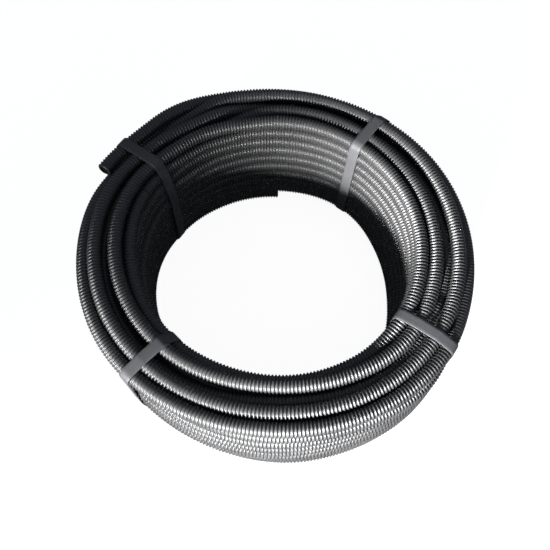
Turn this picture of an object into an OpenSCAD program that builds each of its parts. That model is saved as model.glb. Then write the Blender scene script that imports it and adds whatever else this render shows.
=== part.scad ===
// Coil of corrugated conduit, tied with four flat straps.
// The coil lies flat: +Z is its axis, and it stands on the straps' undersides at Z = 0.
// +X is the coil's right, +Y its back. Angles run counter-clockwise from +X, seen from above.

/* [Conduit] */
// outside diameter, over the corrugations
tube_d = 20; // [18:0.5:22]
// inside diameter, over the corrugations' inner lands
tube_bore = 14.4; // [13:0.2:15]
// wall thickness
tube_wall = 0.7; // [0.5:0.1:0.9]
// length of one corrugation
rib_pitch = 4.5; // [3.6:0.1:6]

/* [Coil] */
// outside diameter, at the belly of the outer wall
coil_od = 532; // [524:8:540]
// diameter of the eye
coil_id = 364; // [356:8:372]
// turns stacked up each wall
rows = 10; // [8:1:12]
// distance between stacked turns, as a part of the tube's diameter
row_step = 0.98; // [0.96:0.01:0.99]
// how far the turn on the rim lies inside the belly
belly = 15; // [13:1:16]
// how far the lowest turns draw in under the belly
foot = 5; // [4:0.5:6]
// how far the upper turns of the outer wall lean in at the front
lean = 10; // [8:1:11]
// angle at which the inner end lies, on the lowest row of the eye's wall
az_inner_end = 90; // [80:1:120]

/* [Free end] */
// length of the end past the strap that holds it
end_len = 45; // [36:4.5:63]
// depth to which the end is open
end_open = 36; // [18:4.5:36]

/* [Straps] */
// width of the flat strap
strap_w = 16; // [12:1:20]
// thickness of the strap
strap_t = 0.8; // [0.6:0.1:1.2]
// angle of the front right strap
az_front_right = -30; // [-36:1:-20]
// angle of the back right strap
az_back_right = 57; // [45:1:70]
// angle of the back left strap, which holds the free end
az_back_left = 150; // [146:1:152]
// angle of the front left strap
az_front_left = 230; // [220:1:236]

/* [Hidden] */
$fn = 96;
r = tube_d / 2;
step = tube_d * row_step;
z_low = strap_t + r;
z_high = z_low + (rows - 1) * step;
r_eye = coil_id / 2 + r;
r_belly = coil_od / 2 - r;
r_rim = r_belly - belly;
r_foot = r_belly - foot;
last = rows - 1;

// The turns wander as they go round, so the section differs from sector to sector.
// Centres are given as [radius, rows below the top row], once round the section:
// up the eye, over the top, down the outside and back along the bottom.
function eye_wall(lowest, highest) = [for (k = [lowest : -1 : highest]) [r_eye, k]];
function outer_wall(first, turns, lean) = [for (i = [0 : turns - 1])
    let (k = first + i * (last - first) / (turns - 1))
    [r_belly - lean * max(0, 1 - k / 4) - foot * pow(max(0, k - last + 3) / 3, 2), k]];
bottom = [for (i = [2, 1]) [r_eye + i * (r_foot - r_eye) / 3, last]];
// a turn that lies sunk between two turns of the top
function groove(a, b) = [[(a + b) / 2, 0.85]];

// the free end rides on the turn that it sinks beside: sunk is that turn, and end is the free end
sunk = [r_belly - 0.9 * tube_d, 0.75];
end = [sunk[0] + sqrt(pow(0.925 * tube_d, 2) - pow(sunk[1] * step, 2)), 0];

top_right = concat([[r_eye, 0], [r_eye + 0.98 * tube_d, 0]], groove(r_eye + 0.98 * tube_d, r_rim), [[r_rim, 0]]);
top_back_left = [[r_eye + 0.3 * tube_d, 0.9], [r_eye + 0.7 * tube_d, 0], [r_eye + 1.6 * tube_d, 0.25], sunk];
top_left = concat([[r_eye + 0.4 * tube_d, 0.9], [r_eye + 1.1 * tube_d, 0]], groove(r_eye + 1.1 * tube_d, r_rim),
    [[r_rim, 0], [r_belly - 0.15 * tube_d, 0.5]]);
top_front = concat([[r_eye - 0.2 * tube_d, 1], [r_eye + 0.25 * tube_d, 0]],
    groove(r_eye + 0.25 * tube_d, r_rim - 0.65 * tube_d), [[r_rim - 0.65 * tube_d, 0], [r_rim + 0.25 * tube_d, 0]]);

right = concat(eye_wall(last - 1, 1), top_right, outer_wall(1, rows - 1, 0), bottom);
back_left = concat(eye_wall(last, 2), top_back_left, outer_wall(1.6, rows - 2, 0), bottom);
left = concat(eye_wall(last, 2), top_left, outer_wall(1.6, rows - 2, 0), bottom);
front = concat(eye_wall(last, 2), top_front, outer_wall(1, rows - 1, lean), bottom);

// angles at which the sectors meet
a_front_right = az_front_right - 18;
a_back_left = az_back_left - 14;
a_left = az_back_left + 15;
a_front_left = az_front_left + 8;

// radii of the corrugations: a rounded crest over a little more than half of the pitch
rib_depth = r - tube_wall - tube_bore / 2;
rib_form = [[0.05, 0], [0.18, 0.1], [0.27, 0.75], [0.4, 1], [0.7, 1], [0.83, 0.75], [0.92, 0.1]];
ribs_all = floor((end_len + strap_w / 4) / rib_pitch);
ribs_open = floor(end_open / rib_pitch);
function rib_line(n, root) = [for (i = [0 : n - 1], p = rib_form)
    [root + rib_depth * p[1], (i + p[0]) * rib_pitch]];

// a centre as [radius, height]
function place(c) = [c[0], z_high - c[1] * step];

// one sector of the wound bundle: each turn that shows is a round, and the core fills what they hide
module sector(from, to, centres) {
    rotate([0, 0, from])
        rotate_extrude(angle = to - from) {
            polygon([for (c = centres) place(c)]);
            for (c = centres) translate(place(c)) circle(r);
        }
}

module bundle() {
    sector(a_front_right, a_back_left, right);
    sector(a_back_left, a_left, back_left);
    sector(a_left, a_front_left, left);
    sector(a_front_left, a_front_right + 360, front);
}

// corrugated tube along +Z from its cut mouth at Z = 0
module ribbed(n, root) {
    line = rib_line(n, root);
    rotate_extrude()
        polygon(concat([[0, 0]], line, [[root, n * rib_pitch], [0, n * rib_pitch]]));
}

// the free end: from its strap on it runs straight off the coil, and it is open at its mouth
module free_end() {
    rotate([0, 0, az_back_left])
        translate([end[0], ribs_all * rib_pitch - strap_w / 4, z_high])
            rotate([90, 0, 0])
                children();
}

// part of one turn
module turn(from, to, centre) {
    rotate([0, 0, from])
        rotate_extrude(angle = to - from)
            translate(place(centre)) circle(r);
}

module conduit() {
    color([0.05, 0.05, 0.055])
        difference() {
            union() {
                bundle();
                turn(az_inner_end, a_back_left, [r_eye, last]);
                turn(a_back_left + 2, az_back_left, end);
                free_end() ribbed(ribs_all, r - rib_depth);
            }
            free_end() translate([0, 0, -rib_pitch * 0.01]) ribbed(ribs_open, tube_bore / 2);
        }
}

// band drawn tight round equal rounds of radius rad: in each direction it touches
// the round that reaches furthest that way
function tight(centres, rad) = [for (a = [0 : 7.5 : 352.5])
    let (way = [cos(a), sin(a)], reach = [for (c = centres) place(c) * way])
    place(centres[search(max(reach), reach)[0]]) + rad * way];

// a flat strap drawn tight round the section at its angle
module strap(az, centres) {
    color([0.2, 0.2, 0.21])
        rotate([0, 0, az])
            translate([0, strap_w / 2, 0])
                rotate([90, 0, 0])
                    linear_extrude(strap_w)
                        difference() {
                            polygon(tight(centres, r + strap_t));
                            polygon(tight(centres, r));
                        }
}

conduit();
strap(az_front_right, right);  // strap_front_right
strap(az_back_right, right);  // strap_back_right
strap(az_back_left, concat(back_left, [end]));  // strap_back_left
strap(az_front_left, left);  // strap_front_left
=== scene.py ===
# %% [markdown]
# # A coil of corrugated conduit, tied with four straps
#
# About fifty metres of black corrugated conduit lie in thirty-six turns round an open eye.
# Four flat plastic straps hold the turns together, and the coil rests on them.
#
# The solid model is loaded first, because it gives the size and the place of every piece. Its
# turns are plain rings, cut into sectors. Here the conduit is made again as what it is, one long
# ribbed tube, and the straps are drawn tight round it. Lengths are in metres and angles in
# degrees, unless a comment says otherwise.

# %% Load the solid model
import math

import bpy
import numpy as np
from mathutils import Matrix, Vector


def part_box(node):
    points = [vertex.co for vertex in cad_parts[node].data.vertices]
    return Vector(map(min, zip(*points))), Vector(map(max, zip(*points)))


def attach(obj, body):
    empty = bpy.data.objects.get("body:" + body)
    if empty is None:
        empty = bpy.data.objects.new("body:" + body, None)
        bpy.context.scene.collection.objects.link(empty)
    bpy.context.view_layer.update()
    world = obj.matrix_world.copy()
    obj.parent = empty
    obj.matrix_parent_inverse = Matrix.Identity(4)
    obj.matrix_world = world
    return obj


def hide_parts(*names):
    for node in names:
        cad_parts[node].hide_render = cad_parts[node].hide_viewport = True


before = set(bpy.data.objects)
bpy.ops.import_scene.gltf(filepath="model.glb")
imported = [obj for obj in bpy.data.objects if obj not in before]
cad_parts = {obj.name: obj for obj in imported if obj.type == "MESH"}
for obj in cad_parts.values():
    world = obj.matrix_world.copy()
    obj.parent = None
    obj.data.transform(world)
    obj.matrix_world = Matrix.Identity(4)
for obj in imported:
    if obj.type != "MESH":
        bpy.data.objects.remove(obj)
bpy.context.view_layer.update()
LOW, HIGH = (np.array(corner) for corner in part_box("conduit"))
print("solid conduit", LOW.round(4), HIGH.round(4))

# %% [markdown]
# ## Sizes
#
# Conduit is corrugated so that it bends by hand without kinking. Its ribs are close together and
# its wall is thin. The tube's own sizes are written down once, and what follows is worked out
# from them. The height of the bundle comes from the solid model, so that the rows of turns fill
# the same space.

# %% Sizes of the conduit
TUBE_R = 0.010                         # outside radius, over the ribs
WALL = 0.0007                          # thickness of the wall
RIB_PITCH = 0.0045                     # from one rib to the next, before it is fitted to the length
RIB_DEPTH = 0.0021                     # from crest to root
ROWS = 9                               # steps between the highest and the lowest row of turns
ROW = (HIGH[2] - LOW[2] - 2 * TUBE_R) / ROWS
Z_TOP = HIGH[2] - TUBE_R               # height of the centres in the highest row
Z_LOW = Z_TOP - ROWS * ROW             # and in the lowest
print("row step %.1f mm" % (ROW * 1000))

# %% [markdown]
# ## How the turns lie on top
#
# A machine winds the coil, so its turns lie in rows, but not perfectly. They wander between the
# straps, sink into grooves, and ride over each other where one row hands over to the next. A
# stack of rings or a plain helix would be quick to make, and too neat. So one path is laid for
# the whole conduit, clockwise from the free end at the back left to the inner end in the lowest
# row of the eye, and stations along it say where it goes.
#
# A station is an angle round the coil, the radius of the tube's centre in millimetres, and how
# many rows it lies below the highest. The five turns that show on top are given station by station.

# %% The five turns on top
START = 160.5                          # angle of the free end
INNER_END = 87.0                       # angle of the inner end

# on top at the back left, a row lower at the back and the right, and on top again at the front
rim = [(160, 254, 0), (150, 248, 0), (138, 244.5, 0), (130, 246.5, 0), (120, 253, 0.5),
       (110, 254.5, 0.9), (92, 255, 1.0), (42, 260, 1.0), (-12, 253.5, 0.9), (-33, 250, 0),
       (-90, 240, 0), (-125, 248, 0), (-150, 250, 0.4), (-165, 249, 0.45), (180, 251, 0.5)]
# under the rim turn at the back left, and on top from there on
outer = [(163, 256, 0.6), (152, 246, 0.95), (133, 235, 0.85), (120, 237, 0), (90, 238.5, 0),
         (42, 241.5, 0), (0, 239, 0), (-33, 234.5, 0), (-90, 222.5, 0), (-125, 231, 0),
         (-155, 238, 0), (180, 238.5, 0)]
# on top at the back left, and sunk into the groove between two turns from there on
groove = [(166, 236, 0), (157, 231, 0), (145, 221.5, 0.1), (122, 217, 0.1), (95, 226, 0.8),
          (0, 226, 0.8), (-33, 220, 0.7), (-90, 209, 0.9), (-125, 216, 0.85), (180, 227.5, 0.85)]
# sunk at the back left, and on top from there on
middle = [(155, 221, 1.05), (125, 209, 0.9), (103, 213, 0.1), (90, 213, 0), (42, 210.5, 0),
          (0, 209, 0), (-33, 206, 0), (-90, 193, 0), (-125, 202.5, 0), (-160, 210, 0),
          (180, 213.5, 0)]
# on top at the back and the right, and a row lower at the front and the left
inner = [(162, 212.5, 0), (145, 204.5, 0), (125, 198, 0), (90, 192.5, 0), (42, 190.3, 0),
         (-15, 191, 0), (-33, 197.5, 0), (-60, 190.5, 0.95), (-95, 183.5, 1.0), (-122, 192, 1.0),
         (-145, 198, 0.9), (-165, 196.5, 0.9), (180, 202, 0.9), (165, 204.5, 0.9)]
TOP = [rim, outer, groove, middle, inner]
print(sum(map(len, TOP)), "stations on top")

# %% [markdown]
# ## How the turns lie below
#
# Under the top the turns are stacked in four columns: the wall of the eye, the outer wall, and
# two columns between them that hardly show. Here a law is better than listed stations, because
# every turn of a column does nearly the same as the one above it. A turn keeps one place at the
# right, one at the front and one at the left, and passes over from each to the next.

# %% Laws of the four columns
SECTORS = ((96, -15), (-62, -112), (-155, 172))   # angles between which a place is kept
EYE_R = 191.0                          # radius of the eye's wall, in millimetres
NEAR_R = 211.5                         # radius of the hidden column next to it
FAR_R = 232.5                          # radius of the hidden column next to the outer wall
BELLY_R = 255.5                        # radius of the outer wall


def turn(*places):
    """Stations of a turn: its place in each sector, said at both ends of the sector."""
    return [(angle, *place) for ends, place in zip(SECTORS, places) for angle in ends]


def inner_turn(i):
    """Turn i of the eye's wall lies i rows down at the right, a row lower at the front, and a
    little less than that at the left, where the three upper turns stand back from the eye."""
    back = 6 * max(0, 1 - i / 4)
    return (EYE_R, i), (EYE_R + 0.5, i + 1.0), (EYE_R + 1.5 + back, i + 0.9 + 0.1 * i / 8)


def outer_turn(i):
    """Turn i of the outer wall lies i rows down at the right. At the front its rows begin one
    higher and spread out downwards, and at the left they are evenly spaced from row 1.6 on. The
    upper turns lean in at the front, and the three lowest draw in under the wall."""
    front = (i - 1) * (1 + 0.125 * ((i - 1) / 8) ** 2)
    belly = BELLY_R - 0.45 * max(i - 6, 0) ** 2
    lean = 9.5 * max(0, 1 - front / 4) ** 1.5
    return (belly, i), (belly - lean, front), (belly, 1.6 + (i - 2) * (ROWS - 1.6) / 7)


def hidden_turn(r, first, count, i):
    """Turn i of a hidden column of so many turns, evenly spaced from its first row to the
    lowest. Its upper turns lean in at the front, as the outer wall's do."""
    row = first + (i - 1) * (ROWS - first) / (count - 1)
    lean = 6 * max(0, 1 - row / 3)
    return (r, row), (r - lean, row), (r, row)


def near(i):
    """Turn i of the hidden column next to the eye's wall."""
    return hidden_turn(NEAR_R, 1.10, 8, i)


def far(i):
    """Turn i of the hidden column next to the outer wall."""
    return hidden_turn(FAR_R, 1.85, 7, i)


# %% [markdown]
# ## The order of winding
#
# From the top the conduit goes down the eye's wall as far as its fourth turn. It passes outwards
# through the middle of the bundle, goes down the outer wall, and comes back along the bottom and
# through the lower middle. The lower half of the eye's wall is wound last.

# %% Turns in the order of winding
walls = [inner_turn(i) for i in (1, 2, 3)]
walls += [(inner_turn(4)[0], *near(4)[1:])]
walls += [near(4), far(4), far(3), near(3), near(2), far(2), near(1), far(1)]
first_outer = len(TOP) + len(walls)
walls += [outer_turn(i) for i in range(2, 10)]
walls += [far(7), near(8), near(7), far(6), near(6), far(5)]
walls += [(near(5)[0], (EYE_R + 0.5, 5.0), (EYE_R + 1.5, 5.0))]
walls += [inner_turn(i) for i in (5, 6, 7, 8)]
turns = TOP + [turn(*places) for places in walls]

# the outer wall's first turn fills the place under the rim turn at the back left
turns[first_outer].insert(0, (146, 252, 1.1))
print(len(turns), "turns")

# %% [markdown]
# ## One path for all the turns
#
# The stations are joined up with straight blends, and a moving average rounds them. A spline
# through the stations would swing out beyond them where a turn sinks quickly, and an average
# never does.

# %% Path from the stations
STEP = 3.0                             # angle between two points of the path
PER_TURN = int(360 / STEP)
ROUNDING = 24                          # angle over which the average is taken
points = len(turns) * PER_TURN + int((START - INNER_END) / STEP)
along = np.arange(points) * STEP       # angle travelled clockwise from the free end
angle_at = (START - along + 180) % 360 - 180


def travelled(number, place, angle):
    """Angle travelled from the free end to a station: 360 for each turn before its own, and the
    rest clockwise from the free end's angle. A turn's first station may lie before that angle."""
    early = 360 if place == 0 and angle > START else 0
    return 360.0 * number + (START - angle) % 360 - early


stations = np.array([(travelled(number, place, angle), r, row)
                     for number, listed in enumerate(turns)
                     for place, (angle, r, row) in enumerate(listed)])
assert (np.diff(stations[:, 0]) > 0).all(), "stations out of order"
kernel = np.hanning(int(ROUNDING / STEP) + 3)[1:-1]


def blend(values):
    """Values at the stations, joined up with straight lines along the path. Each point then
    takes the average of its neighbours, in which the nearest count most."""
    line = np.interp(along, stations[:, 0], values)
    wide = len(kernel) // 2
    return np.convolve(np.pad(line, wide, "edge"), kernel / kernel.sum(), "valid")


radius = blend(stations[:, 1])
rows = blend(stations[:, 2])
print("path of", points, "points by", len(stations), "stations")

# %% [markdown]
# ## Bulges between the straps
#
# The straps hold the bundle where they are tied, and between them it slumps: the walls swell out
# in one place and draw in at another. A lattice or a proportional edit could push a finished mesh
# about, but it would stretch the tube as well. So smooth humps are added to the radius of the
# path, and the tube that is laid along it later keeps its thickness.

# %% Humps round the coil
EYE_EDGE = 203                         # radius in millimetres within which a turn is the eye's wall
WALL_EDGE = 243                        # and beyond which it is the outer wall


def swell(centre, width, power=2):
    """A smooth hump round one angle of the coil: e to the minus of the distance from its centre
    over its width, raised to a power. A higher power makes its top flatter."""
    off = (angle_at - centre + 180) % 360 - 180
    return np.exp(-np.abs(off / width) ** power)


def bulges(*humps):
    """Sum of humps, each given by its height in millimetres, its centre, its width and, where it
    isn't 2, its power."""
    return sum(height * swell(*shape) for height, *shape in humps)


# %% Swellings of the walls
below_top = np.arange(points) >= len(TOP) * PER_TURN
in_eye = below_top & (radius < EYE_EDGE)
on_wall = below_top & (radius > WALL_EDGE)
depth = rows / ROWS                    # 0 in the highest row and 1 in the lowest

# the eye's wall: it stands back at the front right, and its lower rows come further into the eye
radius += in_eye * 5 * swell(-34, 18)
radius -= in_eye * depth * bulges((9.5, 13, 27, 4), (8, 108, 35, 4), (-2.5, 170, 14), (2.5, -164, 10))
# the outer wall: it swells out and draws in between the straps
radius += on_wall * bulges((10, -44, 14), (-9, -132, 24), (-10, -17, 10), (-6, -160, 15), (4, 162, 8))
# every column: its lowest rows draw in at the front left
radius -= below_top * 11 * depth ** 4 * swell(-120, 34, 4)
print("radius %.1f to %.1f mm" % (radius.min(), radius.max()))

# %% [markdown]
# ## Settling
#
# Where stations ask for two turns in nearly the same place, the tubes would pass through each
# other. A physics simulation of fifty metres of tube would be slow and hard to steer. So the
# turns are pushed apart like coins in a box: at each angle of the coil every tube is a circle,
# and circles that overlap move apart a little at a time, while each is drawn back to its own
# place. That is how real turns settle. They touch, press on each other and ride over.

# %% Limits of the path
WANDER = 0.3                           # height in millimetres of a slow wave along the path
WAVE = 0.0131                          # its phase in radians for each degree travelled
REACH = 0.2557                         # furthest that a centre may be along X or Y
REACH_SLANT = 0.265                    # and furthest from the middle of the coil

# the wave is longer than a turn, so that no two turns are quite alike
radius = (radius + WANDER * np.sin(along * WAVE)) / 1000
rows = np.clip(rows, 0, ROWS)
facing = np.radians(angle_at)
square = REACH / np.maximum(np.abs(np.cos(facing)), np.abs(np.sin(facing)))
furthest = np.minimum(square, REACH_SLANT)
print("centres stay within %.1f mm" % (furthest.max() * 1000))

# %% Push the turns apart
TOUCH = 2 * TUBE_R * 0.985             # distance at which two tubes bear on each other
SHARE = 0.45                           # part of an overlap by which each of the two gives way
DRAW = 0.04                            # part of the way back to its own place, in each round
ROUNDS = 90
FAR_AWAY = 9                           # radius at which the unused end of the last turn is put
TINY = 1e-9                            # keeps a distance from being zero


def between(grid):
    """Steps from every turn to every other at each angle of the coil, and their lengths. A
    turn is counted as a metre away from itself, so that it never bears on itself."""
    gap = grid[:, None] - grid[None]
    return gap, np.sqrt((gap ** 2).sum(-1) + TINY) + np.eye(len(grid))[:, :, None]


def settle(r, z):
    """Circles of one tube's radius at each angle: where two are nearer than they can be, both
    move back along the line between them by their share of the overlap. Then each point moves
    half of the way to the middle of its neighbours on the path, and a little towards the place
    where it was laid."""
    count = len(r)
    full_turns = -(-count // PER_TURN)
    spare = full_turns * PER_TURN - count
    home = np.stack([np.pad(r, (0, spare), constant_values=FAR_AWAY), np.pad(z, (0, spare))], -1)
    here = home.copy()
    for _ in range(ROUNDS):
        grid = here.reshape(full_turns, PER_TURN, 2)
        gap, distance = between(grid)
        push = np.clip(TOUCH - distance, 0, None) / distance
        moved = grid + SHARE * (gap * push[..., None]).sum(1)
        live = moved.reshape(-1, 2)[:count]
        live[1:-1] = 0.5 * live[1:-1] + 0.25 * (live[:-2] + live[2:])
        live += DRAW * (home[:count] - live)
        live[:, 0] = np.minimum(live[:, 0], furthest)
        live[:, 1] = np.clip(live[:, 1], Z_LOW, Z_TOP)
        here[:count] = live
    closest = between(here.reshape(full_turns, PER_TURN, 2))[1].min()
    print("closest two turns: %.1f mm" % (closest * 1000))
    return here[:count, 0], here[:count, 1]


path_r, path_z = settle(radius, Z_TOP - rows * ROW)

# %% [markdown]
# ## Places on the path
#
# The path has a point about every twelve millimetres, and the ribs are closer together than
# that. A bevelled Bezier curve would round the path, but it gives no hold on where each ring of
# the tube goes. So the rounding is worked out here, and the length of the path with it. The ribs
# are then fitted to the length, so that they are all alike and both ends are cut at a root.


# %% Curve through the points
def curve(values, t):
    """Catmull-Rom curve through evenly spaced values, read at the real-numbered places t. Between
    two values it is the cubic that starts and ends on them, and its slope at each is half of the
    step from the value before to the value after."""
    i = np.clip(np.floor(t).astype(int), 0, len(values) - 2)
    f = t - i
    a, b, c, d = (values[np.clip(i + k, 0, len(values) - 1)] for k in (-1, 0, 1, 2))
    return b + 0.5 * f * (c - a + f * (2 * a - 5 * b + 4 * c - d + f * (3 * (b - c) + d - a)))


def on_path(t):
    """Centre of the tube at path place t: its angle falls as t grows, because it runs clockwise."""
    angle = np.radians(START - STEP * t)
    r = curve(path_r, t)
    return np.stack([r * np.cos(angle), r * np.sin(angle), curve(path_z, t)], -1)


# %% Length and ribs
PARTS = 8                              # parts in which each step of the path is measured
fine = np.linspace(0, points - 1, (points - 1) * PARTS + 1)
pieces = np.linalg.norm(np.diff(on_path(fine), axis=0), axis=1)
length_at = np.concatenate([[0], np.cumsum(pieces)])
LENGTH = length_at[-1]
RIBS = int(LENGTH / RIB_PITCH)
RIB = LENGTH / RIBS
print("conduit length %.2f m, %d ribs of %.3f mm" % (LENGTH, RIBS, RIB * 1000))


def place_of(s):
    """Path place at the length s from the free end."""
    return np.interp(s, length_at, fine)


def rib_at(turns_done):
    """Number of the rib that is nearest to the end of so many turns."""
    return int(round(np.interp(turns_done * PER_TURN, fine, length_at) / RIB))


# %% [markdown]
# ## Meshes from whole arrays
#
# Every piece of the coil is a row of rings: a ring of points goes round a section, and rings
# follow each other along a line. Blender can make such a shape from a curve with a bevel object,
# but then neither the ribs nor the map for the pattern can be set ring by ring. So the points
# are worked out with numpy, and foreach_set puts whole arrays into the mesh at once. A Python
# loop over the four hundred thousand points would take far longer.


# %% Faces between rings
def ring_faces(rings, across, lengthways, closed=False):
    """Faces and map of a row of rings. Point j of ring i has the number i times the sides plus j,
    and each face joins (i, j), (i, j + 1), (i + 1, j + 1) and (i + 1, j). The last point of a ring
    joins the first, and so does the last ring in a closed row. The map takes its first number
    from across, which has one value more than a ring has sides, and its second from
    lengthways."""
    sides = len(across) - 1
    i, j = np.meshgrid(np.arange(rings if closed else rings - 1), np.arange(sides), indexing="ij")
    here = i * sides
    ahead = (i + 1) % rings * sides
    beside = (j + 1) % sides
    quads = np.stack([here + j, here + beside, ahead + beside, ahead + j], -1).reshape(-1, 4)
    u = np.stack([across[j], across[j + 1], across[j + 1], across[j]], -1)
    v = np.stack([lengthways[i], lengthways[i], lengthways[i + 1], lengthways[i + 1]], -1)
    return quads, np.stack([u.ravel(), v.ravel()], -1)


# %% Objects from arrays
def add_object(name, data):
    """Put a mesh, lamp or camera into the scene as an object of its own, at the origin."""
    made = bpy.data.objects.new(name, data)
    bpy.context.scene.collection.objects.link(made)
    return made


def add_surface(name, verts, quads, quads_map, fans=np.zeros((0, 3), int)):
    """Object with smooth quads and, if there are any, the flat triangles that close its ends.
    Corners are listed face by face, so a face starts where the corners of those before it end."""
    corners = np.concatenate([quads.ravel(), fans.ravel()])
    sizes = np.repeat([4, 3], [len(quads), len(fans)])
    mesh = bpy.data.meshes.new(name)
    mesh.vertices.add(len(verts))
    mesh.vertices.foreach_set("co", verts.ravel())
    mesh.loops.add(len(corners))
    mesh.loops.foreach_set("vertex_index", corners.astype(np.int32))
    mesh.polygons.add(len(sizes))
    mesh.polygons.foreach_set("loop_start", (np.cumsum(sizes) - sizes).astype(np.int32))
    mesh.polygons.foreach_set("use_smooth", sizes == 4)
    mesh.update(calc_edges=True)
    mesh.validate()
    whole_map = np.vstack([quads_map, np.zeros((fans.size, 2))])
    mesh.uv_layers.new(name="UVMap").data.foreach_set("uv", whole_map.ravel())
    return add_object(name, mesh)


# %% [markdown]
# ## The corrugated tube
#
# A corrugated tube is a profile of crests and roots, turned about the tube's own line. Each ring
# of its mesh is a circle set square to the path, and its radius follows the profile. An Array of
# one rib with a Curve modifier would do for the plain run, but not for the ends. At both cut
# ends the profile here turns over the edge of the wall and runs back down the bore, so that the
# end is a real thin-walled mouth.
#
# Each ring also carries its height on the rib as an attribute called crest, from 0 at a root to
# 1 on a crest, and the map counts ribs along the tube. The material uses both.


# %% Tube on the path
def frames_at(t, reach=0.05):
    """Two directions square to the path at place t: the upward one crossed with the way ahead,
    which is level and points away from the eye, and the way ahead crossed with that. The way
    ahead is the step between two places on either side of t."""
    ahead = on_path(np.clip(t + reach, 0, points - 1)) - on_path(np.clip(t - reach, 0, points - 1))
    ahead /= np.linalg.norm(ahead, axis=1)[:, None]
    out = np.cross(np.array([0, 0, 1.0]), ahead)
    out /= np.linalg.norm(out, axis=1)[:, None]
    return out, np.cross(ahead, out)


def tube(name, s, radii, height, sides):
    """Tube with one ring at each length s on the path: point j is the ring's centre plus its
    radius times the direction at angle j, in equal steps from the outward direction. A fan of
    triangles round the ring's centre closes each end."""
    t = place_of(s)
    centres = on_path(t)
    out, up = frames_at(t)
    angle = np.arange(sides) * 2 * np.pi / sides
    ring = out[:, None] * np.cos(angle)[None, :, None] + up[:, None] * np.sin(angle)[None, :, None]
    verts = (centres[:, None] + radii[:, None, None] * ring).reshape(-1, 3)
    quads, quads_map = ring_faces(len(s), np.arange(sides + 1) / sides, s / RIB)

    count = len(verts)
    last = count - sides
    side = np.arange(sides)
    beside = (side + 1) % sides
    fans = np.vstack([np.stack([beside, side, np.full(sides, count)], -1),
                      np.stack([last + side, last + beside, np.full(sides, count + 1)], -1)])
    made = add_surface(name, np.vstack([verts, centres[0], centres[-1]]), quads, quads_map, fans)
    crest = made.data.attributes.new("crest", "FLOAT", "POINT")
    crest.data.foreach_set("value", np.append(np.repeat(height, sides), [0, 0]).astype(np.float32))
    return made


# %% Profile of the ribs
RIB_PHASE = np.array([0.0, 0.20, 0.38, 0.62, 0.80])    # places on one rib
RIB_HEIGHT = np.array([0.0, 0.45, 1.0, 1.0, 0.45])     # root, flank, crest, crest, flank
BORE_RIBS = 14                         # ribs that are made down an open end
SIDES = 10                             # points round the ribbed tube


def rib_profile(first, last):
    """Ribs first to last, as lengths, radii and heights: a narrow root, then a rounded crest."""
    rib = np.arange(first, last)
    s = np.append(((rib[:, None] + RIB_PHASE[None]) * RIB).ravel(), last * RIB)
    height = np.append(np.tile(RIB_HEIGHT, len(rib)), 0.0)
    return s, TUBE_R - RIB_DEPTH * (1 - height), height


def bore_profile(first, last):
    """The same ribs on the inside of the wall, read backwards. Nothing polishes them, so their
    crest value is halved."""
    s, radii, height = rib_profile(first, last)
    return s[::-1], radii[::-1] - WALL, height[::-1] * 0.5


def corrugated(name, first, last):
    """A length of corrugated tube from rib first to rib last. Where it has an end of the conduit,
    the bore is joined on at the mouth."""
    profiles = [rib_profile(first, last)]
    if first == 0:
        profiles.insert(0, bore_profile(0, BORE_RIBS))
    if last == RIBS:
        profiles.append(bore_profile(RIBS - BORE_RIBS, RIBS))
    s, radii, height = (np.concatenate(parts) for parts in zip(*profiles))
    return tube(name, s, radii, height, SIDES)


# %% [markdown]
# ## The lengths of the conduit
#
# Fifty metres of ribs in one mesh would be too heavy to handle, so the path is cut at roots
# between ribs into lengths that meet face to face. The turns inside the bundle hardly show
# between the others, so they are plain tubes, which fill their places at a small part of the
# cost.

# %% Build the lengths
STARTS = {"conduit_top_turns": 0, "conduit_eye_upper": 5, "conduit_hidden_upper": 9,
          "conduit_outer_upper": 16, "conduit_outer_lower": 21, "conduit_bottom": 25,
          "conduit_hidden_lower": 27, "conduit_eye_lower": 31}   # turns wound before each length
PLAIN_STEP = 0.012                     # distance between the rings of a plain tube
PLAIN_R = TUBE_R - 0.0008              # its radius, between crest and root
PLAIN_HEIGHT = 0.3                     # its crest value, for the gloss
PLAIN_SIDES = 8

conduit = []
cuts = [rib_at(turns_done) for turns_done in STARTS.values()] + [RIBS]
for name, first, last in zip(STARTS, cuts, cuts[1:]):
    if "hidden" in name:
        s = np.linspace(first * RIB, last * RIB, int((last - first) * RIB / PLAIN_STEP))
        obj = tube(name, s, np.full(len(s), PLAIN_R), np.full(len(s), PLAIN_HEIGHT), PLAIN_SIDES)
    else:
        obj = corrugated(name, first, last)
    conduit.append(obj)
print(len(conduit), "lengths, cut at ribs", cuts)

# %% [markdown]
# ## The straps
#
# A strap is pulled tight round the bundle, so in section it takes the outline that a stretched
# band takes round a set of discs: round where it lies on a tube, and straight between tubes. It
# could be drawn by hand at each place, but then it would float or cut in as soon as a turn is
# moved. So it is worked out from the turns' own places: for every direction, the band touches
# the disc that reaches furthest that way.

# %% Line of a strap
STRAP_W = 0.016                        # width of a strap
STRAP_T = 0.0008                       # thickness
STRAP_EDGE = 0.0006                    # width of the slope along each edge
STRAP_GAP = 0.0001                     # between a strap and the ribs


def section_at(angle):
    """Centres of all turns that pass an angle, as radius and height."""
    t = ((START - angle) % 360) / STEP + np.arange(len(turns) + 1) * PER_TURN
    t = t[t <= points - 1]
    return np.stack([curve(path_r, t), curve(path_z, t)], -1)


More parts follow.
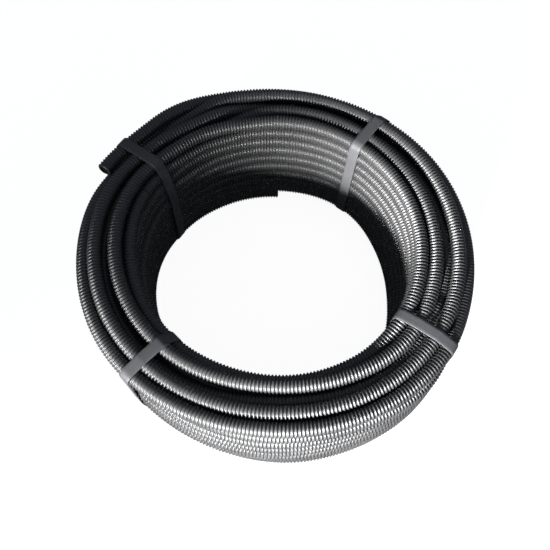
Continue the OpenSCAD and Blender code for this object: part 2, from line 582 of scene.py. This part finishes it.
def band_line(discs, reach, directions=1440, steps=240):
    """Tight band round equal discs: for each direction, the centre that is furthest that way,
    plus the reach in that direction. The line is then divided into equal steps. Gives back its
    points and its length."""
    facing = np.linspace(0, 2 * np.pi, directions, endpoint=False)
    way = np.stack([np.cos(facing), np.sin(facing)], -1)
    touched = np.argmax(discs @ way.T, axis=0)
    line = discs[touched] + reach * way
    line = np.vstack([line, line[:1]])
    run = np.concatenate([[0], np.cumsum(np.linalg.norm(np.diff(line, axis=0), axis=1))])
    even = np.linspace(0, run[-1], steps, endpoint=False)
    return np.stack([np.interp(even, run, line[:, k]) for k in (0, 1)], -1), run[-1]


# %% Straps round the bundle
STRAPS = {"strap_front_right": -30.0, "strap_back_right": 57.0,
          "strap_back_left": 150.0, "strap_front_left": 230.0}   # angles round the coil


def strap(name, angle):
    """Flat band with sloped edges: each ring is the band's own section, which lies across the
    tight line. A point is the line's point, plus its place in the thickness times the outward
    direction, plus its place in the width times the direction round the coil."""
    line, girth = band_line(section_at(angle), TUBE_R + STRAP_T / 2 + STRAP_GAP)
    line[:, 1] = np.maximum(line[:, 1], STRAP_T / 2)
    ahead = np.roll(line, -1, 0) - np.roll(line, 1, 0)
    ahead /= np.linalg.norm(ahead, axis=1)[:, None]
    out = np.stack([ahead[:, 1], -ahead[:, 0]], -1)

    side = STRAP_W / 2
    flat = side - STRAP_EDGE
    face = STRAP_T / 2
    wide = np.array([-side, -flat, -side / 2, 0, side / 2, flat, side, flat, 0, -flat])
    thick = np.array([0, face, face, face, face, face, 0, -face, -face, -face])

    a = np.radians(angle)
    away = np.array([math.cos(a), math.sin(a), 0])
    round_coil = np.array([-math.sin(a), math.cos(a), 0])
    upright = np.array([0, 0, 1.0])
    section = line[:, None] + thick[None, :, None] * out[:, None]
    verts = section[..., :1] * away + wide[None, :, None] * round_coil + section[..., 1:] * upright

    rings = len(line)
    lengthways = np.arange(rings + 1) * girth / rings
    quads, quads_map = ring_faces(rings, np.append(wide, wide[0]), lengthways, closed=True)
    print("%-18s girth %.0f mm" % (name, girth * 1000))
    return add_surface(name, verts.reshape(-1, 3), quads, quads_map)


straps = {name: strap(name + "_band", angle) for name, angle in STRAPS.items()}


# %% Check that the faces point outwards
def signed_volume(mesh):
    """A sixth of a . (b x c), summed over the triangles with the corners a, b and c. For a closed
    mesh it is the volume, and it is positive where the faces point outwards."""
    co = np.empty(len(mesh.vertices) * 3)
    mesh.vertices.foreach_get("co", co)
    corners = np.empty(len(mesh.loop_triangles) * 3, np.int32)
    mesh.loop_triangles.foreach_get("vertices", corners)
    a, b, c = (co.reshape(-1, 3)[corners.reshape(-1, 3)[:, k]] for k in range(3))
    return np.einsum("ij,ij->i", a, np.cross(b, c)).sum() / 6


for obj in conduit + list(straps.values()):
    obj.data.calc_loop_triangles()
    volume = signed_volume(obj.data)
    triangles = len(obj.data.loop_triangles)
    print("%-22s %6d triangles, %6.1f cm3" % (obj.name, triangles, volume * 1e6))
    assert volume > 0, obj.name + " is inside out"

# %% [markdown]
# ## Tools for the materials
#
# A material is a graph of nodes. In the editor it is quick to try out, and in a script every
# node and link takes a line, which is hard to read. So a few small helpers come first. One makes
# a node with its sockets given by name, one does sums, and one mixes colours. In each of them a
# value may be a plain number or another node's socket.


# %% Node helpers
def feed(tree, socket, value):
    """Give a socket its value: another node's socket is linked, and anything else is set."""
    if isinstance(value, bpy.types.NodeSocket):
        tree.links.new(value, socket)
    else:
        socket.default_value = value


def node(tree, kind, **values):
    """A node with its sockets and settings given by name."""
    made = tree.nodes.new(kind)
    for key, value in values.items():
        if key in made.inputs:
            feed(tree, made.inputs[key], value)
        else:
            setattr(made, key, value)
    return made


def maths(tree, operation, *values):
    """One sum on one, two or three values."""
    made = node(tree, "ShaderNodeMath", operation=operation)
    for socket, value in zip(made.inputs, values):
        feed(tree, socket, value)
    return made.outputs[0]


def stretched(tree, value, low, high):
    """The value, moved and stretched so that low becomes 0 and high becomes 1, and held there
    beyond them."""
    ends = {"From Min": low, "From Max": high}
    return node(tree, "ShaderNodeMapRange", Value=value, **ends).outputs[0]


def mixed(tree, share, low, high):
    """The colour low where the share is 0, high where it is 1, and a mixture between. A Mix node
    has sockets for numbers, vectors and colours, and the two for colours are numbers 6 and 7."""
    made = node(tree, "ShaderNodeMix", data_type="RGBA")
    feed(tree, made.inputs[0], share)
    feed(tree, made.inputs[6], low)
    feed(tree, made.inputs[7], high)
    return made.outputs[2]


# %% Start of a plastic
def plastic(name, values):
    """A new material, its tree and its shader. Values that are the same all over are set on the
    shader's own sockets."""
    made = bpy.data.materials.new(name)
    made.use_nodes = True
    shader = made.node_tree.nodes["Principled BSDF"]
    for key, value in values.items():
        shader.inputs[key].default_value = value
    return made, made.node_tree, shader


def map_of(tree):
    """The two numbers of a piece's own map: across it and along it."""
    read = node(tree, "ShaderNodeUVMap", uv_map="UVMap")
    split = node(tree, "ShaderNodeSeparateXYZ", Vector=read.outputs[0])
    return split.outputs[0], split.outputs[1]


# %% [markdown]
# ## Wear
#
# A coil is thrown on a pile, dragged off it and carried over a shoulder. Handling leaves broad
# patches where the dust is rubbed off, and fine scuffs. Conduit and straps share both, so the
# wear is one node group with two masks, and each material says how fine it wants them. The
# masks are noise on Object coordinates: they stay on the surface, and pass from one length of
# the conduit to the next without a break.


# %% Wear, shared by both plastics
def wear_group():
    """Two masks, Broad and Fine: noise at a given scale, whose middle values are stretched to
    between 0 and 1."""
    tree = bpy.data.node_groups.new("handling_wear", "ShaderNodeTree")
    for mask in ("Broad", "Fine"):
        tree.interface.new_socket(mask + " scale", in_out="INPUT", socket_type="NodeSocketFloat")
        tree.interface.new_socket(mask, in_out="OUTPUT", socket_type="NodeSocketFloat")
    given = node(tree, "NodeGroupInput").outputs
    result = node(tree, "NodeGroupOutput").inputs
    spot = node(tree, "ShaderNodeTexCoord").outputs["Object"]
    for mask, detail, low, high in (("Broad", 3.0, 0.35, 0.7), ("Fine", 2.0, 0.45, 0.75)):
        noise = node(tree, "ShaderNodeTexNoise", Vector=spot, Scale=given[mask + " scale"],
                     Detail=detail, Roughness=0.6)
        tree.links.new(stretched(tree, noise.outputs[0], low, high), result[mask])
    return tree


wear = wear_group()


def worn(tree, broad_scale, fine_scale):
    """The two masks of the wear in a material, at its own scales."""
    scales = {"Broad scale": broad_scale, "Fine scale": fine_scale}
    made = node(tree, "ShaderNodeGroup", node_tree=wear, **scales)
    return made.outputs["Broad"], made.outputs["Fine"]


# %% [markdown]
# ## Black conduit
#
# Conduit is extruded polypropylene, coloured black, and moulded between two rows of blocks that
# travel along with it. Every block leaves its own faint tone, and a fine parting line runs along
# two opposite sides. The crests are polished by rubbing on their neighbours, and the grooves
# keep a little dust. One plain black would look like rubber, and a picture used as a texture
# would repeat itself. So tone and gloss are worked out from the crest value and from the number
# of the rib.


# %% Marks of the mould
def rib_tones(tree, ribs, block_ribs=8.0):
    """A tone for each rib: 0.35 times chance for its mould block, plus 0.25 times chance for the
    rib itself."""
    block = node(tree, "ShaderNodeTexWhiteNoise", noise_dimensions="1D",
                 W=maths(tree, "FLOOR", maths(tree, "DIVIDE", ribs, block_ribs)))
    each = node(tree, "ShaderNodeTexWhiteNoise", noise_dimensions="1D",
                W=maths(tree, "FLOOR", ribs))
    own = maths(tree, "MULTIPLY", each.outputs[0], 0.25)
    return maths(tree, "MULTIPLY_ADD", block.outputs[0], 0.35, own)


def parting_line(tree, around, width=0.004):
    """1 on two opposite lines along the tube, a quarter and three quarters of the way round, and
    0 from a width away from them on."""
    side = maths(tree, "PINGPONG", maths(tree, "ADD", around, 0.25), 0.25)
    return stretched(tree, side, width, 0.0)


# %% Black conduit
BLACK = (0.046, 0.046, 0.047, 1)
FADED_BLACK = (0.080, 0.080, 0.081, 1)
DUST = (0.11, 0.112, 0.12, 1)


def conduit_plastic(name):
    """Black plastic whose tone and gloss follow the ribs."""
    made, tree, shader = plastic(name, {"Specular IOR Level": 1.0, "Coat Weight": 0.6,
                                        "Coat IOR": 1.65, "Coat Roughness": 0.42})
    around, ribs = map_of(tree)
    broad, scuffs = worn(tree, broad_scale=9.0, fine_scale=900.0)
    crest = node(tree, "ShaderNodeAttribute", attribute_name="crest").outputs["Fac"]
    tone = rib_tones(tree, ribs)

    # dust lies in the grooves, and more of it in some broad patches than in others
    patches = maths(tree, "MULTIPLY_ADD", broad, 0.5, 0.1)
    dust = maths(tree, "MULTIPLY", maths(tree, "SUBTRACT", 1.0, crest), patches)
    clean = mixed(tree, tone, BLACK, FADED_BLACK)
    dusty = mixed(tree, maths(tree, "MULTIPLY", dust, 0.3), clean, DUST)
    feed(tree, shader.inputs["Base Color"], dusty)

    # the crests are polished, and scuffs and faded blocks are dull
    rough = maths(tree, "MULTIPLY_ADD", crest, -0.12, 0.52)
    rough = maths(tree, "MULTIPLY_ADD", scuffs, 0.10, rough)
    rough = maths(tree, "MULTIPLY_ADD", tone, 0.08, rough)
    feed(tree, shader.inputs["Roughness"], rough)

    # the parting line stands up from the surface, and the scuffs give it a fine grain
    height = maths(tree, "MULTIPLY_ADD", scuffs, 0.1, parting_line(tree, around))
    bump = node(tree, "ShaderNodeBump", Strength=0.2, Distance=0.0002, Height=height)
    feed(tree, shader.inputs["Normal"], bump.outputs[0])
    return made


black = conduit_plastic("black_conduit")
for obj in conduit:
    obj.data.materials.append(black)
print("black conduit:", len(black.node_tree.nodes), "nodes")

# %% [markdown]
# ## Grey straps
#
# A strap of this kind is a dark grey plastic band. It is drawn out along its length, which leaves
# streaks, and pressed with a fine pattern of crossed ridges, so that a seal grips it. The ridges
# are far finer than anything that shows in outline, so they are a bump. The streaks are noise on
# the band's own map, stretched along it, because Object coordinates would run straight through
# the coil and not round with the band.


# %% Pattern and streaks of the straps
def crossed_ridges(tree, across, length, spacing=0.0016):
    """The higher of two sine waves that slant opposite ways, brought to between 0 and 1."""
    waves = []
    for slant in (1.0, -1.0):
        run = maths(tree, "MULTIPLY_ADD", across, slant, length)
        waves.append(maths(tree, "SINE", maths(tree, "MULTIPLY", run, 2 * math.pi / spacing)))
    return maths(tree, "MULTIPLY_ADD", maths(tree, "MAXIMUM", *waves), 0.5, 0.5)


def streaks(tree, across, length):
    """Noise that changes quickly across the band and slowly along it."""
    spot = node(tree, "ShaderNodeCombineXYZ", X=maths(tree, "MULTIPLY", across, 900.0),
                Y=maths(tree, "MULTIPLY", length, 12.0))
    noise = node(tree, "ShaderNodeTexNoise", Vector=spot.outputs[0], Scale=1.0, Detail=3.0)
    return noise.outputs[0]


# %% Grey straps
GREY = (0.10, 0.10, 0.105, 1)
RUBBED_GREY = (0.17, 0.17, 0.178, 1)


def strap_plastic(name):
    """Dark grey band with a pressed pattern, streaked along its length."""
    made, tree, shader = plastic(name, {"Specular IOR Level": 0.55})
    across, length = map_of(tree)
    broad, _ = worn(tree, broad_scale=9.0, fine_scale=900.0)
    bump = node(tree, "ShaderNodeBump", Strength=0.5, Distance=0.0002,
                Height=crossed_ridges(tree, across, length))
    feed(tree, shader.inputs["Normal"], bump.outputs[0])

    streaked = maths(tree, "MULTIPLY", streaks(tree, across, length), 0.65)
    tone = maths(tree, "MULTIPLY_ADD", broad, 0.35, streaked)
    feed(tree, shader.inputs["Base Color"], mixed(tree, tone, GREY, RUBBED_GREY))
    feed(tree, shader.inputs["Roughness"], maths(tree, "MULTIPLY_ADD", tone, 0.2, 0.36))
    return made


grey = strap_plastic("grey_strap")
for obj in straps.values():
    obj.data.materials.append(grey)
print("grey straps:", len(grey.node_tree.nodes), "nodes")

# %% [markdown]
# ## Pieces and solids
#
# Each piece is hung on the body of the solid model that carries it, and the solid part that it
# stands for is hidden. The coil has no moving parts, so everything rides on the root.

# %% Hang the pieces on the root and hide the solid parts
for obj in conduit:
    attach(obj, "root")
    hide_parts("conduit")
for name, obj in straps.items():
    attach(obj, "root")
    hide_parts(name)
print(len(conduit) + len(straps), "pieces")

# %% [markdown]
# ## Floor
#
# The coil lies on a pale floor that runs out of sight. Lamps strong enough to turn a floor white
# would bleach the plastic. So the floor is a plain grey that takes the lamps' light and the
# coil's soft shadow, and a glow is added to it that only the camera sees. The glow lifts it
# to white and lights nothing.

# %% Floor
FLOOR_REACH = 6.0                      # from the middle to each side
FLOOR_Z = -0.0005                      # a hair under the straps
FLOOR_GREY = (0.5, 0.5, 0.5, 1)
FLOOR_GLOW = 0.94

corners = [(x * FLOOR_REACH, y * FLOOR_REACH, FLOOR_Z)
           for x, y in ((-1, -1), (1, -1), (1, 1), (-1, 1))]
floor_mesh = bpy.data.meshes.new("floor")
floor_mesh.from_pydata(corners, [], [(0, 1, 2, 3)])
floor = add_object("floor", floor_mesh)

pale = bpy.data.materials.new("pale_floor")
pale.use_nodes = True
tree = pale.node_tree
tree.nodes.clear()
by_camera = node(tree, "ShaderNodeLightPath").outputs["Is Camera Ray"]
matt = node(tree, "ShaderNodeBsdfDiffuse", Color=FLOOR_GREY)
glow = node(tree, "ShaderNodeEmission", Strength=maths(tree, "MULTIPLY", by_camera, FLOOR_GLOW))
both = node(tree, "ShaderNodeAddShader")
tree.links.new(matt.outputs[0], both.inputs[0])
tree.links.new(glow.outputs[0], both.inputs[1])
node(tree, "ShaderNodeOutputMaterial", Surface=both.outputs[0])
floor_mesh.materials.append(pale)
print("floor", 2 * FLOOR_REACH, "m wide")

# %% [markdown]
# ## Light
#
# Black plastic shows its shape by its highlights, so the light comes low from the front left. It
# is aimed past the left side of the coil, which stays dark, as does the foot of the eye's wall.
# A large area lamp would put a sheen on every side of every rib. So there are three spot lamps,
# each aimed at one part of the coil. Their edges are fully blended, so the light of each fades
# out smoothly. The world adds a faint cool fill, and is white only where the camera looks
# straight at it.

# %% World
FILL_COLOUR = (0.8, 0.86, 1.0, 1)
FILL_STRENGTH = 0.13
WHITE = (1, 1, 1, 1)

world = bpy.data.worlds.new("studio")
bpy.context.scene.world = world
world.use_nodes = True
tree = world.node_tree
fill = tree.nodes["Background"]
fill.inputs["Color"].default_value = FILL_COLOUR
fill.inputs["Strength"].default_value = FILL_STRENGTH
backdrop = node(tree, "ShaderNodeBackground", Color=WHITE, Strength=1.0)
by_camera = node(tree, "ShaderNodeLightPath").outputs["Is Camera Ray"]
pick = node(tree, "ShaderNodeMixShader")
for socket, value in zip(pick.inputs, (by_camera, fill.outputs[0], backdrop.outputs[0])):
    feed(tree, socket, value)
feed(tree, tree.nodes["World Output"].inputs["Surface"], pick.outputs[0])
print("world fill", FILL_STRENGTH)


# %% Lamps
def lamp(name, azimuth, elevation, aim, power, cone, softness, distance=2.0):
    """A spot lamp that stands at a distance from its aim, at one angle round the coil and another
    above the floor. The cone is its full opening, and the softness is its own radius."""
    data = bpy.data.lights.new(name, "SPOT")
    data.energy = power
    data.spot_size = math.radians(cone)
    data.spot_blend = 1.0
    data.shadow_soft_size = softness
    made = add_object(name, data)
    a = math.radians(azimuth)
    e = math.radians(elevation)
    towards = np.array([math.cos(e) * math.cos(a), math.cos(e) * math.sin(a), math.sin(e)])
    made.location = np.array(aim) + distance * towards
    made.rotation_euler = (math.radians(90 - elevation), 0, math.radians(azimuth + 90))
    print("%-7s %3d W at" % (name, power), [round(x, 2) for x in made.location])


# the turns at the right, then the far wall of the eye, then the outer wall at the front
lamp("key", azimuth=-110, elevation=17, aim=(0.25, 0.04, 0.12), power=250, cone=24, softness=0.06)
lamp("window", azimuth=-128, elevation=13, aim=(0.25, 0.10, 0.12), power=300, cone=20, softness=0.10)
lamp("low", azimuth=-120, elevation=5, aim=(-0.10, -0.21, 0.09), power=170, cone=17, softness=0.15)

# %% [markdown]
# ## Camera
#
# The camera looks steeply down on the coil from the front, so that the eye shows as an opening
# with its far wall inside. It is rolled a little to one side. A Track To constraint would aim it,
# but wouldn't allow the roll. So its three axes are worked out: to the right, up, and backwards,
# because a Blender camera looks along its own minus Z.

# %% Camera
ELEVATION = math.radians(64.9)         # of the camera above the floor
ROLL = math.radians(4.5)               # about its own line of sight
DISTANCE = 0.910                       # from the middle of the coil
SENSOR = 36                            # width in millimetres
LENS = 41.36727                        # focal length in millimetres
SHIFT = -0.0116                        # of the frame, as a part of its width

level = Vector((1, 0, 0))
upward = Vector((0, math.sin(ELEVATION), math.cos(ELEVATION)))
back = Vector((0, -math.cos(ELEVATION), math.sin(ELEVATION)))
right = math.cos(ROLL) * level + math.sin(ROLL) * upward
up = math.cos(ROLL) * upward - math.sin(ROLL) * level
heart = Vector((0, 0, (LOW[2] + HIGH[2]) / 2))

camera_data = bpy.data.cameras.new("camera")
camera_data.sensor_width = SENSOR
camera_data.lens = LENS
camera_data.shift_y = SHIFT
camera = add_object("camera", camera_data)
axes = Matrix((right, up, back)).transposed().to_4x4()
camera.matrix_world = Matrix.Translation(heart + back * DISTANCE) @ axes
bpy.context.scene.camera = camera
bpy.context.scene.view_settings.view_transform = "Standard"
print("camera at", [round(x, 3) for x in camera.location])
